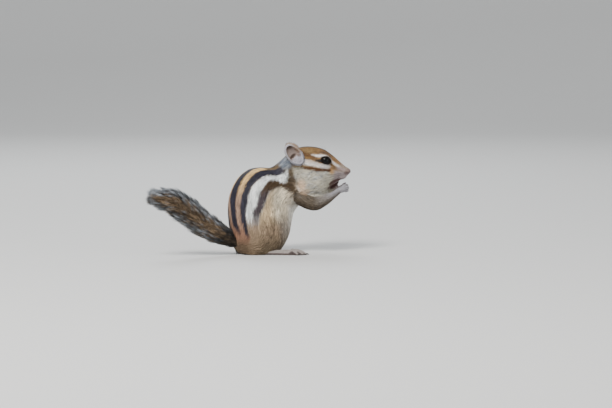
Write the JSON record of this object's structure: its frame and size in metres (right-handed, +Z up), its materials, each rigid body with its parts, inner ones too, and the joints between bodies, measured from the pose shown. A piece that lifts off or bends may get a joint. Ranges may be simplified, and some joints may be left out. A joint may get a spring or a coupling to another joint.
{
  "type": "chipmunk",
  "caption": "Life-size still chipmunk sitting on its haunches, paws held to its mouth, striped back, bushy tail held out behind.",
  "frame": {"origin": "on the floor, under the middle of the whole model's box", "axes": "+X the way the head faces and the tail lies behind, +Y the animal's left, +Z up"},
  "size_m": [0.1452, 0.0732, 0.0787],
  "materials": {
    "head_fur": "short dense fur, ochre and white stripes",
    "body_fur": "short dense fur with five dark stripes along the back",
    "limb_fur": "short grey-brown fur",
    "tail_fur": "long bushy hair, banded and frosted",
    "paw_skin": "pale skin with very short fur",
    "ear_skin": "thin skin with fine fur",
    "eye": "wet black"
  },
  "bodies": {
    "root": {"ear_left": "ear_skin", "ear_right": "ear_skin", "eye_left": "eye", "eye_right": "eye", "foreleg_left": "limb_fur", "foreleg_right": "limb_fur", "forepaw_left": "paw_skin", "forepaw_right": "paw_skin", "head": "head_fur", "hind_foot_left": "paw_skin", "hind_foot_right": "paw_skin", "hind_leg_left": "body_fur", "hind_leg_right": "body_fur", "neck": "body_fur", "tail": "tail_fur", "torso": "body_fur"}
  },
  "joints": []
}
